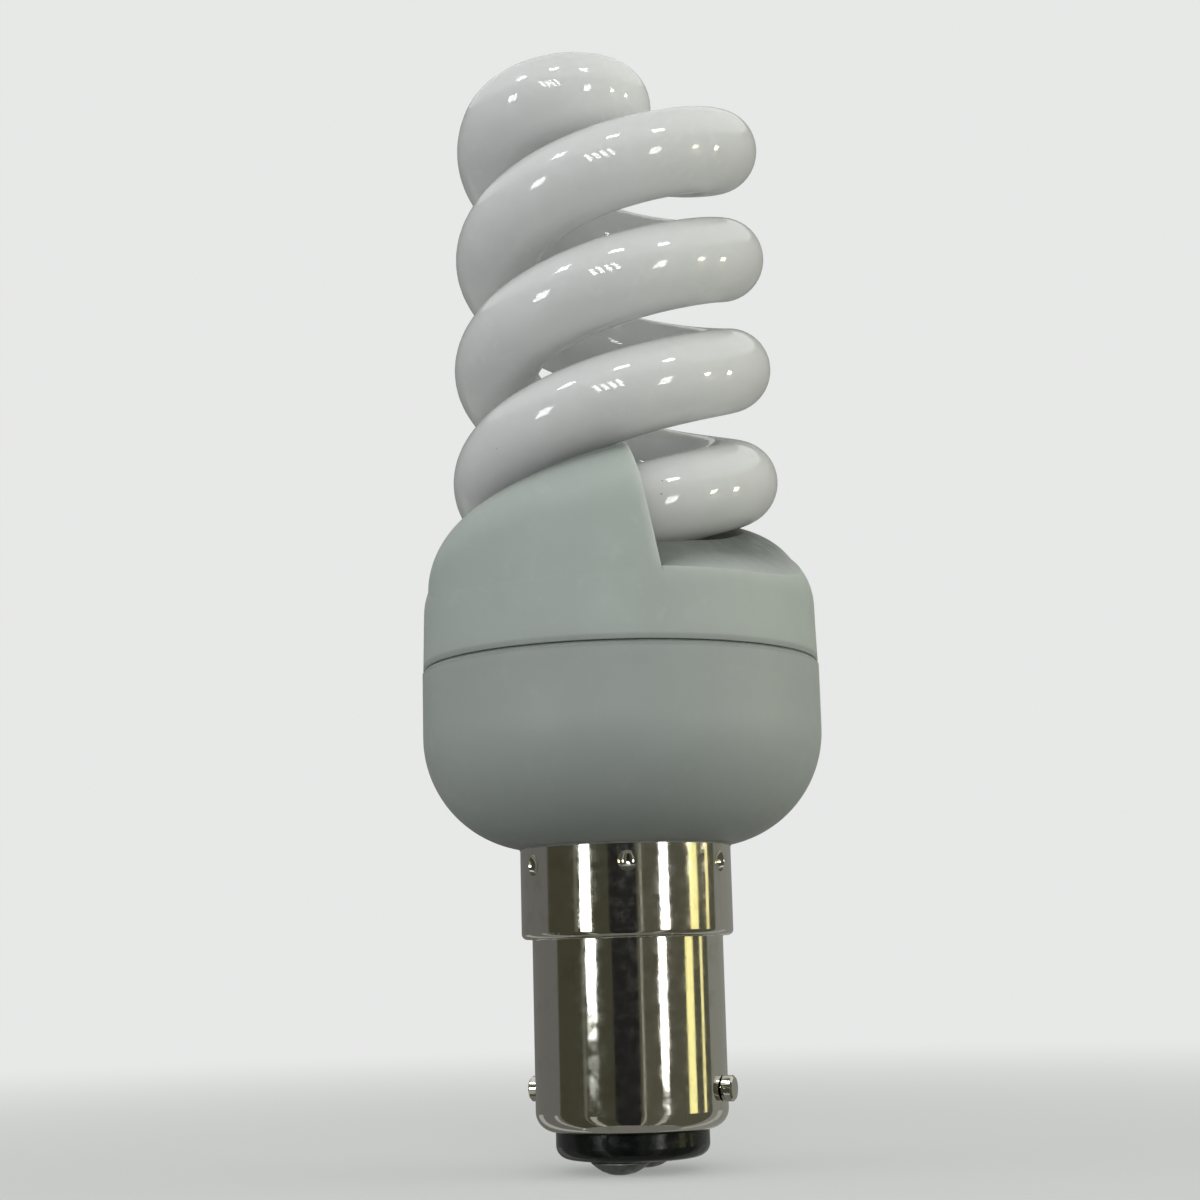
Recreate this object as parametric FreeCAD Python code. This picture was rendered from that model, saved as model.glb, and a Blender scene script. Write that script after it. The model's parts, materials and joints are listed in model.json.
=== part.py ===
import FreeCAD, Part
import math
import os

# A spiral energy saving bulb with a small bayonet cap. Millimetres.
# The lamp's axis is Z, the contacts rest on Z = 0 and the bayonet pins point along X.

# Bayonet cap, from its rim up
barrel_r = 7.6
barrel_height = 14.85
skirt_step = 0.85
skirt_height = 7.05
cap_wall = 0.35
step_round = 0.45
rim_z = 3.2
rim_round = 1.5
crimp_count = 6
crimp_turn = -9.0
crimp_drop = 1.35
crimp_r = 1.1
crimp_depth = 0.35
cap_clearance = 0.05
pin_r = 1.0
pin_reach = 0.9
pin_rise = 3.1
pin_relief = 0.06
pin_shank_r = 0.6
pin_edge = 0.15
pin_head = 0.3
pin_head_r = 0.8

# Insulator and contacts
insulator_gap = 0.05
insulator_round = 1.0
insulator_depth = 1.9
contact_r = 2.0
contact_thickness = 0.4
contact_spacing = 5.8
solder_r = 2.4
solder_height = 1.1
fit_gap = 0.03

# Lower housing, which stands on the cap
housing_r = 16.12
bowl_arc_r = 9.2
wall_height = 5.35
shell_wall = 1.3
neck_wall = 1.45
neck_depth = 5.5
seam_chamfer = 0.25
ledge_width = 1.15
ledge_height = 1.2

# Upper cover: heights above the seam, and insets from its own radius
seam_gap = 0.08
cover_inset = 0.07
wall_inset = 0.1
wall_rise = 4.65
crease_inset = 0.18
crease_rise = 5.55
shoulder_inset = 0.85
shoulder_rise = 7.25
cone_inset = 2.45
cone_rise = 8.9
cone_angle = 29.0
plateau_share = 0.3427

# Hoods that hold the tube, and the slopes in front of them
hood_wall = 1.4
hood_gap = 0.7
hood_flush = 0.012
hood_depth = 6.5
hood_tail = -190.0
hood_full = -132.0
hood_fade = 0.0008
hood_overrun = 15.0
hollow_tail = -215.0
socket_clearance = 0.5
trough_last = 40.0
cement_length = 36.0
cement_recess = 8.0
cement_gap = 0.25
mouth_turn = -62.0
mouth_rise = 11.05
mouth_lean = 11.0
ramp_angle = 36.0
ramp_sweep = 90.0
ramp_full = -27.0
ramp_fade = 0.00116

# Glass spiral
tube_d = 7.0
coil_share = 0.61745
coil_rise = 15.35
coil_taper = 0.0225
coil_pitch = 19.29
strand_rise = 14.35
strand_first = -155.0
strand_last = 582.0
crossing_ease = 0.95
curve_step = 11.6
end_step = 0.01
crossing_steps = 12

# Joint between cover and housing
spigot_depth = 2.15
spigot_clearance = 0.1
snap_height = 0.3
snap_width = 0.9

# Ballast board, drawn for a board of this radius and scaled to the one that fits the housing
board_drawn_r = 14.32
board_thickness = 1.4
board_edge_gap = 0.5
lead_r = 0.3
lead_gap = 0.1
lead_tail = 0.5

# Ballast parts
can_r = 4.0
can_length = 12.5
can_drop = 2.0
can_round = 0.6
can_groove = 0.35
can_lead_spacing = 2.5
choke_x = 8.2
choke_drop = 0.4
choke_width = 10.2
choke_depth = 3.2
choke_height = 6.6
choke_yoke = 1.4
choke_leg = 1.3
choke_centre_leg = 3.2
bobbin_wall = 0.5
bobbin_overhang = 1.8
winding_inset = 0.2
ring_x = -8.6
ring_r = 4.2
ring_bore = 2.2
ring_height = 3.2
ring_drop = 1.2
ring_wire = 0.5
ring_wire_gap = 0.05
ring_coils = 3
ring_turns = 3
ring_turn_step = 15.0
part_drop = 0.6
transistor_r = 2.4
transistor_height = 4.6
transistor_flat = 1.3
transistor_place = 9.8
transistor_turn = 132.0
film_width = 7.0
film_depth = 3.4
film_height = 6.0
film_round = 0.8
film_x = -0.5
film_y = 8.6
film_lead_spacing = 5.0
diode_r = 0.9
diode_length = 4.4
resistor_r = 0.85
resistor_waist = 0.15
axial_place = 11.2
axial_turn = 36.0
axial_step = 10.5
axial_count = 4
hairpin_r = 0.7
diac_r = 0.8
fuse_r = 1.0
lone_place = 12.0
lone_turn = 116.0

# Leads
wrap_pin_size = 0.8
wrap_pin_height = 4.8
wrap_pin_place = 12.2
wrap_pin_turn = 141.0
wrap_pin_spread = 14.0
filament_r = 0.25
filament_offset = 1.0
filament_run = 1.8
filament_bend = 0.9
wrap_turns = 3
wrap_step = 0.4
supply_r = 0.45
supply_place = 5.4
supply_rise = 6.8
supply_bend = 2.0

# Values that follow from the sizes above
tube_r = tube_d / 2
skirt_r = barrel_r + skirt_step
step_z = rim_z + barrel_height
skirt_top_z = step_z + skirt_height
crimp_z = skirt_top_z - crimp_drop
pin_z = rim_z + pin_rise
insulator_r = barrel_r - rim_round - insulator_gap
insulator_z = solder_height
insulator_top_z = rim_z + insulator_depth
supply_bend_z = rim_z + supply_rise
bowl_z = skirt_top_z + bowl_arc_r
seam_z = bowl_z + wall_height
housing_inner_r = housing_r - shell_wall
neck_r = skirt_r - cap_wall - cap_clearance
cover_r = housing_r - cover_inset
cover_bottom_z = seam_z + seam_gap
wall_r = cover_r - wall_inset
wall_z = seam_z + wall_rise
crease_r = cover_r - crease_inset
crease_z = seam_z + crease_rise
shoulder_r = cover_r - shoulder_inset
shoulder_z = seam_z + shoulder_rise
cone_r = cover_r - cone_inset
cone_z = seam_z + cone_rise
cone_slope = math.tan(math.radians(cone_angle))
plateau_r = cover_r * plateau_share
plateau_z = cone_z + (cone_r - plateau_r) * cone_slope
mouth_z = seam_z + mouth_rise
hood_r = tube_r + hood_gap + hood_wall
socket_r = tube_r + socket_clearance
coil_r = cover_r * coil_share
coil_z = seam_z + coil_rise
strand_z = seam_z + strand_rise
large = 4 * cover_r
spigot_r = housing_inner_r - spigot_clearance
spigot_bottom_z = seam_z - spigot_depth
snap_z = seam_z - spigot_depth / 2
board_r = housing_inner_r - board_edge_gap
board_scale = board_r / board_drawn_r
board_top_z = spigot_bottom_z - spigot_clearance
board_z = board_top_z - board_thickness
ledge_z = board_top_z - board_thickness * board_scale
half_turn = 180.0
diagonal = 45.0
top = FreeCAD.Vector(0, 0, 1)
origin = FreeCAD.Vector(0, 0, 0)


def vec(x, y, z):
    return FreeCAD.Vector(x, y, z)


def polar(radius, turn, z):
    angle = math.radians(turn)
    return vec(radius * math.cos(angle), radius * math.sin(angle), z)


def turned(start, *steps):
    """Solid of revolution: each step is the end of a line, or the middle and end of an arc, as (r, z)."""
    edges = []
    here = start
    for step in steps + (start,):
        if isinstance(step[0], tuple):
            middle, end = step
            edges.append(Part.Arc(*(vec(r, 0, z) for r, z in (here, middle, end))).toShape())
        else:
            end = step
            edges.append(Part.makeLine(vec(here[0], 0, here[1]), vec(end[0], 0, end[1])))
        here = end
    return Part.Face(Part.Wire(edges)).revolve(origin, top, 360)


def arc_point(centre, radius, angle):
    """Point of a round in a turned outline, angle in degrees from the outward direction."""
    a = math.radians(angle)
    return (centre[0] + radius * math.cos(a), centre[1] + radius * math.sin(a))


def rod(radius, start, end):
    return Part.makeCylinder(radius, (end - start).Length, start, end - start)


def block(x, y, z, dx, dy, dz):
    """Box centred on x and y, standing on z."""
    return Part.makeBox(dx, dy, dz, vec(x - dx / 2, y - dy / 2, z))


def spun(shape, turn):
    copy = shape.copy()
    copy.rotate(origin, top, turn)
    return copy


def opposite(shape):
    return spun(shape, half_turn)


def ring_of(shape, count, turn=0.0):
    return [spun(shape, turn + 360.0 * i / count) for i in range(count)]


def fused(shapes):
    return shapes[0].multiFuse(shapes[1:]).removeSplitter()


def swept(edges, radius):
    """Round bar along a run of edges that meet without a corner."""
    wire = Part.Wire(edges)
    start = edges[0].valueAt(edges[0].FirstParameter)
    along = edges[0].tangentAt(edges[0].FirstParameter)
    circle = Part.Wire(Part.makeCircle(radius, start, along))
    return wire.makePipeShell([circle], True, False)


def rounded_route(points, bend):
    """Straight runs joined by tangent arcs of one radius."""
    edges = []
    here = points[0]
    for before, corner, after in zip(points, points[1:], points[2:]):
        back = (before - corner).normalize()
        ahead = (after - corner).normalize()
        half = back.getAngle(ahead) / 2
        trim = bend / math.tan(half)
        centre = corner + (back + ahead).normalize() * (bend / math.sin(half))
        middle = centre + (corner - centre).normalize() * bend
        edges.append(Part.makeLine(here, corner + back * trim))
        edges.append(Part.Arc(corner + back * trim, middle, corner + ahead * trim).toShape())
        here = corner + ahead * trim
    edges.append(Part.makeLine(here, points[-1]))
    return edges


def even_turns(first, last):
    """Angles from first to last in equal steps."""
    count = math.ceil((last - first) / curve_step)
    return [first + (last - first) * i / count for i in range(count + 1)]


# Centre line of the glass: a narrowing helix, and half of the crossing at its top

def strand_point(turn):
    z = strand_z + coil_pitch * turn / 360
    return polar(coil_r - coil_taper * (z - coil_z), turn, z)


def crossing_point(share):
    """Half of the S over the axis: share 0 is the end of the helix, 1 is the axis."""
    end = strand_point(strand_last)
    end_r = math.hypot(end.x, end.y)
    bend = end_r / 2
    slope = crossing_ease * coil_pitch / (2 * math.pi * end_r)
    length = bend * math.pi
    flat = polar(bend, strand_last, 0) + polar(bend, strand_last + half_turn * share, 0)
    return vec(flat.x, flat.y, end.z + slope * length * (share - share * share / 2))


def strand_points(first, last):
    """Points of one strand, from one angle to another in equal steps."""
    return [strand_point(turn) for turn in even_turns(first, last)]


def smooth_bar(points, radius):
    line = Part.BSplineCurve()
    line.interpolate(Points=points)
    return swept([line.toShape()], radius)


def along_strand(radius, first, last):
    return smooth_bar(strand_points(first, last), radius)


def sealed_end():
    """Middle of a strand's lower end, and the direction in which the glass ends there."""
    end = strand_point(strand_first)
    return end, (end - strand_point(strand_first + end_step)).normalize()


def spiral_tube():
    crossing = [crossing_point((i + 1) / crossing_steps) for i in range(crossing_steps)]
    half = smooth_bar(strand_points(strand_first, strand_last) + crossing, tube_r)
    end, outward = sealed_end()
    half = half.fuse(Part.makeSphere(tube_r, end, outward, 0, 90, 360))
    return fused([half, opposite(half)])


# Upper cover

def screwed(outline, first, last):
    """Solid swept by an outline that turns and climbs with the strand, drawn at the strand's height."""
    spine = Part.makeHelix(coil_pitch, coil_pitch * (last - first) / 360, coil_r)
    solid = spun(Part.Wire(spine).makePipeShell([outline], True, True), first)
    solid.translate(vec(0, 0, strand_point(first).z))
    return solid


def mouth_side(ahead):
    """Large block on one side of the leaning plane that a hood ends in, on the mouth's side of the axis."""
    side = Part.makeBox(large, large, large, vec(0, 0 if ahead else -large, -large / 2))
    side.rotate(origin, vec(1, 0, 0), mouth_lean)
    side.rotate(origin, top, mouth_turn)
    side.translate(vec(0, 0, mouth_z))
    return side


def ramp_outline(turn):
    """Section of the space over a slope, which climbs out of the shoulder far from the mouth."""
    slope = math.tan(math.radians(ramp_angle))
    level_z = crease_z + ramp_fade * max(0.0, turn - ramp_full) ** 2
    inner_r = coil_r
    outer_r = cover_r + shell_wall
    low = polar(outer_r, turn, level_z - (outer_r - crease_r) * slope)
    high = polar(inner_r, turn, level_z + (crease_r - inner_r) * slope)
    lid = [polar(r, turn, plateau_z + hood_r) for r in (inner_r, outer_r)]
    return Part.makePolygon([low, high] + lid + [low])


def ramp_space():
    """Space that lowers the shoulder in front of a hood's mouth."""
    turns = even_turns(mouth_turn - hood_overrun, mouth_turn + ramp_sweep)
    return Part.makeLoft([ramp_outline(turn) for turn in turns], True).cut(mouth_side(False))


def hood_outline(turn):
    """Section of a hood across the strand: its outer side is in line with the cover's wall."""
    centre = strand_point(turn)
    middle = math.hypot(centre.x, centre.y)
    side = wall_r - hood_flush - coil_taper * (centre.z - wall_z) - middle
    shift = (side - hood_r) / 2
    roof_r = hood_r + shift - hood_fade * max(0.0, hood_full - turn) ** 2
    roof_z = centre.z - shift
    foot_z = roof_z - hood_depth
    middle += shift
    outer = polar(middle + roof_r, turn, roof_z)
    inner = polar(middle - roof_r, turn, roof_z)
    outer_foot = polar(middle + roof_r + hood_depth * coil_taper, turn, foot_z)
    inner_foot = polar(middle - roof_r, turn, foot_z)
    roof = Part.Arc(outer, polar(middle, turn, roof_z + roof_r), inner).toShape()
    sides = [(inner, inner_foot), (inner_foot, outer_foot), (outer_foot, outer)]
    return Part.Wire([roof] + [Part.makeLine(*ends) for ends in sides])


def hood_outside(last):
    """Hood with its roof, which sinks into the shoulder at its tail."""
    return Part.makeLoft([hood_outline(turn) for turn in even_turns(hood_tail, last)], True)


def hood_hollow(last):
    """Vaulted space for the tube's end, open to the inside of the cover."""
    centre = strand_point(mouth_turn)
    middle = math.hypot(centre.x, centre.y)
    half_width = hood_r - hood_wall
    outer = vec(middle + half_width, 0, 0)
    inner = vec(middle - half_width, 0, 0)
    depth = vec(0, 0, hood_r + hood_depth)
    roof = Part.Arc(outer, vec(middle, 0, half_width), inner).toShape()
    sides = [(inner, inner - depth), (inner - depth, outer - depth), (outer - depth, outer)]
    return screwed(Part.Wire([roof] + [Part.makeLine(*ends) for ends in sides]), hollow_tail, last)


def cover_outline(inset, bottom_z):
    lift = inset / math.cos(math.radians(cone_angle))
    return turned(
        (0, bottom_z),
        (cover_r - inset, bottom_z),
        (wall_r - inset, wall_z),
        ((shoulder_r - inset, shoulder_z - inset / 2), (cone_r - inset / 2, cone_z - inset)),
        (plateau_r, plateau_z - lift),
        (0, plateau_z - lift),
    )


def cover_spigot():
    inner_r = spigot_r - shell_wall
    wall_inner_r = cover_r - shell_wall
    return turned(
        (inner_r, spigot_bottom_z),
        (spigot_r, spigot_bottom_z),
        (spigot_r, snap_z - snap_width / 2),
        (spigot_r + snap_height, snap_z),
        (spigot_r, snap_z + snap_width / 2),
        (spigot_r, cover_bottom_z),
        (wall_inner_r, cover_bottom_z),
        (wall_inner_r, cover_bottom_z + shell_wall),
        (inner_r, cover_bottom_z),
    )


def upper_cover():
    ahead = mouth_side(True)
    behind = mouth_side(False)
    ramp = ramp_space()
    slope_floor = ramp.translated(vec(0, 0, -shell_wall / math.cos(math.radians(ramp_angle))))
    hood = hood_outside(mouth_turn + hood_overrun).cut(ahead)
    hollow = hood_hollow(mouth_turn - hood_overrun)
    body = cover_outline(0, cover_bottom_z).cut(ramp).cut(opposite(ramp))
    trough = along_strand(socket_r + shell_wall, mouth_turn - hood_overrun, trough_last)
    trough = trough.cut(behind).common(body)
    hood = hood.common(block(0, 0, cover_bottom_z, large, large, large))
    body = fused([body, hood, opposite(hood)])
    inside = cover_outline(shell_wall, cover_bottom_z).cut(slope_floor).cut(opposite(slope_floor))
    for space in (inside, hollow, opposite(hollow)):
        body = body.cut(space)
    body = fused([body, trough, opposite(trough), cover_spigot()])
    bore = along_strand(socket_r, mouth_turn - 2 * hood_overrun, trough_last + hood_overrun)
    return body.cut(bore).cut(opposite(bore)).removeSplitter()


def tube_cement():
    first = mouth_turn - cement_recess - cement_length
    last = mouth_turn - cement_recess
    outside = along_strand(hood_r - hood_wall - cement_gap, first, last)
    return outside.cut(along_strand(tube_r + fit_gap, first - cement_recess, last + cement_recess))


# Lower housing

def lower_housing():
    centre = (housing_r - bowl_arc_r, bowl_z)
    inner_arc_r = bowl_arc_r - shell_wall
    seat_r = skirt_r + cap_clearance
    seat_angle = -math.degrees(math.acos((seat_r - centre[0]) / bowl_arc_r))
    bore_r = neck_r - neck_wall
    bore_angle = -2 * diagonal
    ledge_r = housing_inner_r - ledge_width
    groove = snap_height + cap_clearance
    body = turned(
        (bore_r, skirt_top_z - neck_depth),
        (neck_r, skirt_top_z - neck_depth),
        (neck_r, skirt_top_z),
        (seat_r, skirt_top_z),
        arc_point(centre, bowl_arc_r, seat_angle),
        (arc_point(centre, bowl_arc_r, seat_angle / 2), (housing_r, bowl_z)),
        (housing_r, seam_z - seam_chamfer),
        (housing_r - seam_chamfer, seam_z),
        (housing_inner_r, seam_z),
        (housing_inner_r, snap_z + snap_width / 2),
        (housing_inner_r + groove, snap_z),
        (housing_inner_r, snap_z - snap_width / 2),
        (housing_inner_r, ledge_z),
        (ledge_r, ledge_z),
        (ledge_r, ledge_z - ledge_height),
        (housing_inner_r, ledge_z - ledge_height - ledge_width),
        (housing_inner_r, bowl_z),
        (arc_point(centre, inner_arc_r, bore_angle / 2), arc_point(centre, inner_arc_r, bore_angle)),
        (bore_r, bowl_z - inner_arc_r),
    )
    return body.cut(Part.makeCompound(crimp_balls(crimp_r + cap_wall + cap_clearance)))


# Bayonet cap

def crimp_balls(radius):
    place = polar(skirt_r + crimp_r - crimp_depth, 0, crimp_z)
    return ring_of(Part.makeSphere(radius, place), crimp_count, crimp_turn)


def cap_outline(inset):
    """Skirt, rounded step, barrel and rolled rim, as a solid drawn in by inset."""
    skirt = skirt_r - inset
    barrel = barrel_r - inset
    outer = step_round - inset if inset < step_round else 0
    step = step_z + inset
    rim = (barrel_r - rim_round, rim_z + rim_round)
    roll = rim_round - inset
    corner = (skirt - outer, step + outer)
    hollow = (barrel + step_round + inset - cap_wall, step - step_round - inset + cap_wall)
    hollow_r = step_round + inset - cap_wall
    return turned(
        (0, skirt_top_z),
        (skirt, skirt_top_z),
        (skirt, corner[1]),
        (arc_point(corner, outer, -diagonal), (corner[0], step)),
        (hollow[0], step),
        (arc_point(hollow, hollow_r, 3 * diagonal), (barrel, hollow[1])),
        (barrel, rim[1]),
        (arc_point(rim, roll, -diagonal), arc_point(rim, roll, -2 * diagonal)),
        (0, rim_z + inset),
    )


def cap_shell():
    shell = cap_outline(0).cut(cap_outline(cap_wall))
    inside = Part.makeCylinder(skirt_r - cap_wall / 2, skirt_top_z)
    bumps = [ball.common(inside) for ball in crimp_balls(crimp_r + cap_wall)]
    shell = fused([shell] + bumps).cut(Part.makeCompound(crimp_balls(crimp_r)))
    opening = Part.makeCylinder(barrel_r - rim_round, 2 * rim_z)
    shanks = Part.makeCylinder(pin_shank_r + fit_gap, 2 * skirt_r, vec(-skirt_r, 0, pin_z), vec(1, 0, 0))
    return shell.cut(opening).cut(shanks)


def bayonet_pin():
    """Lug on a shank that is riveted through the barrel, with a head inside."""
    tip = vec(barrel_r + pin_reach, 0, pin_z)
    root = vec(barrel_r + pin_relief, 0, pin_z)
    inner_r = barrel_r - cap_wall
    head = vec(inner_r - pin_head, 0, pin_z)
    lug = rod(pin_r, root, tip)
    lug = lug.makeChamfer(pin_edge, [e for e in lug.Edges if e.BoundBox.XMin > tip.x - pin_edge])
    inside = rod(pin_head_r, head, root).common(Part.makeCylinder(inner_r, skirt_top_z))
    return fused([lug, inside, rod(pin_shank_r, head, root)])


# Insulator and contacts

def contact_place(z):
    return vec(0, -contact_spacing / 2, z)


def cap_insulator():
    round_centre = (insulator_r - insulator_round, insulator_z + insulator_round)
    button = turned(
        (0, insulator_z),
        (round_centre[0], insulator_z),
        (arc_point(round_centre, insulator_round, -diagonal), (insulator_r, round_centre[1])),
        (insulator_r, rim_z + rim_round),
        (0, rim_z + rim_round),
    )
    filling = cap_outline(cap_wall + fit_gap).common(Part.makeCylinder(barrel_r, insulator_top_z))
    body = fused([button, filling])
    seat = Part.makeCylinder(contact_r + fit_gap, contact_thickness, contact_place(insulator_z))
    hole = Part.makeCylinder(supply_r + lead_gap, insulator_top_z, contact_place(insulator_z))
    for cut in (seat, hole):
        body = body.cut(cut).cut(opposite(cut))
    return body


def contact_plate():
    plate = Part.makeCylinder(contact_r, contact_thickness, contact_place(insulator_z))
    return plate.cut(Part.makeCylinder(supply_r + lead_gap, contact_thickness, contact_place(insulator_z)))


def contact_solder():
    ball_r = (solder_r ** 2 + solder_height ** 2) / (2 * solder_height)
    ball = Part.makeSphere(ball_r, contact_place(ball_r))
    return ball.common(Part.makeCylinder(2 * solder_r, solder_height, contact_place(0)))


# Ballast board and its parts: each hangs under the board on leads that pass through it

def on_board(shape):
    """What is drawn for the drawn board, at the size of the real one."""
    copy = shape.copy()
    copy.scale(board_scale, vec(0, 0, board_top_z))
    return copy


def leads(places, bottom_z):
    return [rod(lead_r, vec(x, y, bottom_z), vec(x, y, board_top_z + lead_tail)) for x, y in places]


def can_places():
    return [(side * can_lead_spacing / 2, 0) for side in (-1, 1)]


def choke_places():
    reach = choke_depth / 2 + bobbin_overhang - lead_r
    side = bobbin_half_width() - lead_r
    return [(choke_x + i * reach, j * side) for i in (-1, 1) for j in (-1, 1)]


def bobbin_half_width():
    return choke_width / 2 - choke_leg - lead_gap


def ring_places():
    points = [polar(ring_r + ring_wire / 2, turn, 0) for turn in ring_turn_list()]
    return [(p.x + ring_x, p.y) for p in points]


def ring_turn_list():
    """Angle of every turn of wire on the ring."""
    coils = [360.0 * (coil + 0.5) / ring_coils for coil in range(ring_coils)]
    middle = (ring_turns - 1) / 2
    return [turn + ring_turn_step * (i - middle) for turn in coils for i in range(ring_turns)]


def transistor_places(turn):
    centre = polar(transistor_place, turn, 0)
    along = polar(transistor_flat, turn + 90, 0)
    return [(centre.x + along.x * i, centre.y + along.y * i) for i in (-1, 0, 1)]


def film_places(side):
    return [(film_x + i * film_lead_spacing / 2, side * film_y) for i in (-1, 1)]


def axial_places(place, turn):
    outer = polar(place, turn, 0)
    inner = polar(place - 2 * hairpin_r, turn, 0)
    return [(outer.x, outer.y), (inner.x, inner.y)]


def axial_turns(side):
    return [side * (axial_turn + axial_step * i) for i in range(axial_count)]


def wrap_pin_centres(scale=1.0):
    turns = [wrap_pin_turn + wrap_pin_spread * side / 2 for side in (-1, 1)]
    turns += [turn + half_turn for turn in turns]
    return [polar(wrap_pin_place * scale, turn, board_top_z) for turn in turns]


def circuit_board():
    places = can_places() + choke_places() + ring_places()
    for side in (-1, 1):
        places += transistor_places(side * transistor_turn) + film_places(side)
        places += axial_places(lone_place, side * lone_turn) + [(0, side * supply_place)]
        for turn in axial_turns(side):
            places += axial_places(axial_place, turn)
    holes = [Part.makeCylinder(lead_r + lead_gap, board_thickness, vec(x, y, board_z)) for x, y in places]
    pin_hole = wrap_pin_size + 2 * lead_gap
    for pin in wrap_pin_centres():
        holes.append(block(pin.x, pin.y, board_z, pin_hole, pin_hole, board_thickness))
    board = Part.makeCylinder(board_drawn_r, board_thickness, vec(0, 0, board_z))
    return board.cut(Part.makeCompound(holes))


def smoothing_capacitor():
    top_z = board_z - can_drop
    groove_z = top_z - 3 * can_groove
    bottom_z = top_z - can_length
    rounding = (can_r - can_round, bottom_z + can_round)
    can = turned(
        (0, bottom_z),
        (rounding[0], bottom_z),
        (arc_point(rounding, can_round, -diagonal), (can_r, rounding[1])),
        (can_r, groove_z - can_groove),
        ((can_r - can_groove, groove_z), (can_r, groove_z + can_groove)),
        (can_r, top_z),
        (0, top_z),
    )
    return fused([can] + leads(can_places(), top_z))


def choke_levels():
    """Underside of the core, and the floor and ceiling of its two windows."""
    bottom_z = board_z - choke_drop - choke_height
    return bottom_z, bottom_z + choke_yoke, bottom_z + choke_height - choke_yoke


def choke_core():
    bottom_z, floor_z, ceiling_z = choke_levels()
    core = block(choke_x, 0, bottom_z, choke_depth, choke_width, choke_height)
    window = (choke_width - choke_centre_leg) / 2 - choke_leg
    for side in (-1, 1):
        middle = side * (choke_centre_leg + window) / 2
        core = core.cut(block(choke_x, middle, floor_z, choke_depth, window, ceiling_z - floor_z))
    return core


def around_choke(reach, half_width, z, height):
    """Block round the core's centre leg."""
    return block(choke_x, 0, z, choke_depth + 2 * reach, 2 * half_width, height)


def choke_bobbin():
    bottom_z, floor_z, ceiling_z = choke_levels()
    low = floor_z + lead_gap
    height = ceiling_z - floor_z - 2 * lead_gap
    sleeve_half = choke_centre_leg / 2 + lead_gap + bobbin_wall
    body = around_choke(lead_gap + bobbin_wall, sleeve_half, low, height)
    flanges = [around_choke(bobbin_overhang, bobbin_half_width(), z, bobbin_wall)
               for z in (low, low + height - bobbin_wall)]
    leg_hole = around_choke(lead_gap, choke_centre_leg / 2 + lead_gap, low, height)
    return fused([body] + flanges + leads(choke_places(), low + height - bobbin_wall)).cut(leg_hole)


def choke_winding():
    bottom_z, floor_z, ceiling_z = choke_levels()
    low = floor_z + lead_gap + bobbin_wall + fit_gap
    height = ceiling_z - floor_z - 2 * (lead_gap + bobbin_wall + fit_gap)
    sleeve_half = choke_centre_leg / 2 + lead_gap + bobbin_wall + fit_gap
    outside = around_choke(bobbin_overhang - winding_inset, bobbin_half_width() - winding_inset, low, height)
    upright = [e for e in outside.Edges if e.BoundBox.ZLength > height / 2]
    outside = outside.makeFillet(bobbin_half_width() - sleeve_half - winding_inset, upright)
    return outside.cut(around_choke(lead_gap + bobbin_wall + fit_gap, sleeve_half, low, height))


def drive_ring():
    bottom_z = board_z - ring_drop - ring_height
    ring = Part.makeCylinder(ring_r, ring_height, vec(ring_x, 0, bottom_z))
    return ring.cut(Part.makeCylinder(ring_bore, ring_height, vec(ring_x, 0, bottom_z)))


def drive_windings():
    bottom_z = board_z - ring_drop - ring_height
    inner = ring_bore - ring_wire_gap
    outer = ring_r + ring_wire_gap
    span = outer - inner
    hole = Part.makeBox(span, ring_wire, ring_height + 2 * ring_wire_gap,
                        vec(inner, -ring_wire / 2, bottom_z - ring_wire_gap))
    loop = Part.makeBox(span + 2 * ring_wire, ring_wire, ring_height + 2 * (ring_wire_gap + ring_wire),
                        vec(inner - ring_wire, -ring_wire / 2, bottom_z - ring_wire_gap - ring_wire))
    loop = loop.cut(hole)
    turns = []
    for turn, place in zip(ring_turn_list(), ring_places()):
        copy = spun(loop, turn)
        copy.translate(vec(ring_x, 0, 0))
        turns.append(fused([copy] + leads([place], bottom_z + ring_height + 2 * ring_wire_gap)))
    return Part.makeCompound(turns)


def transistor(turn):
    top_z = board_z - part_drop
    bottom_z = top_z - transistor_height
    body = Part.makeCylinder(transistor_r, transistor_height, vec(transistor_place, 0, bottom_z))
    behind = transistor_place - transistor_flat - transistor_r
    flat = block(behind, 0, bottom_z, 2 * transistor_r, 4 * transistor_r, transistor_height)
    return fused([spun(body.cut(flat), turn)] + leads(transistor_places(turn), top_z))


def film_capacitor(side):
    top_z = board_z - part_drop
    body = block(film_x, side * film_y, top_z - film_height, film_width, film_depth, film_height)
    body = body.makeFillet(film_round, [e for e in body.Edges if e.BoundBox.ZLength > film_height / 2])
    return fused([body] + leads(film_places(side), top_z))


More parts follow.
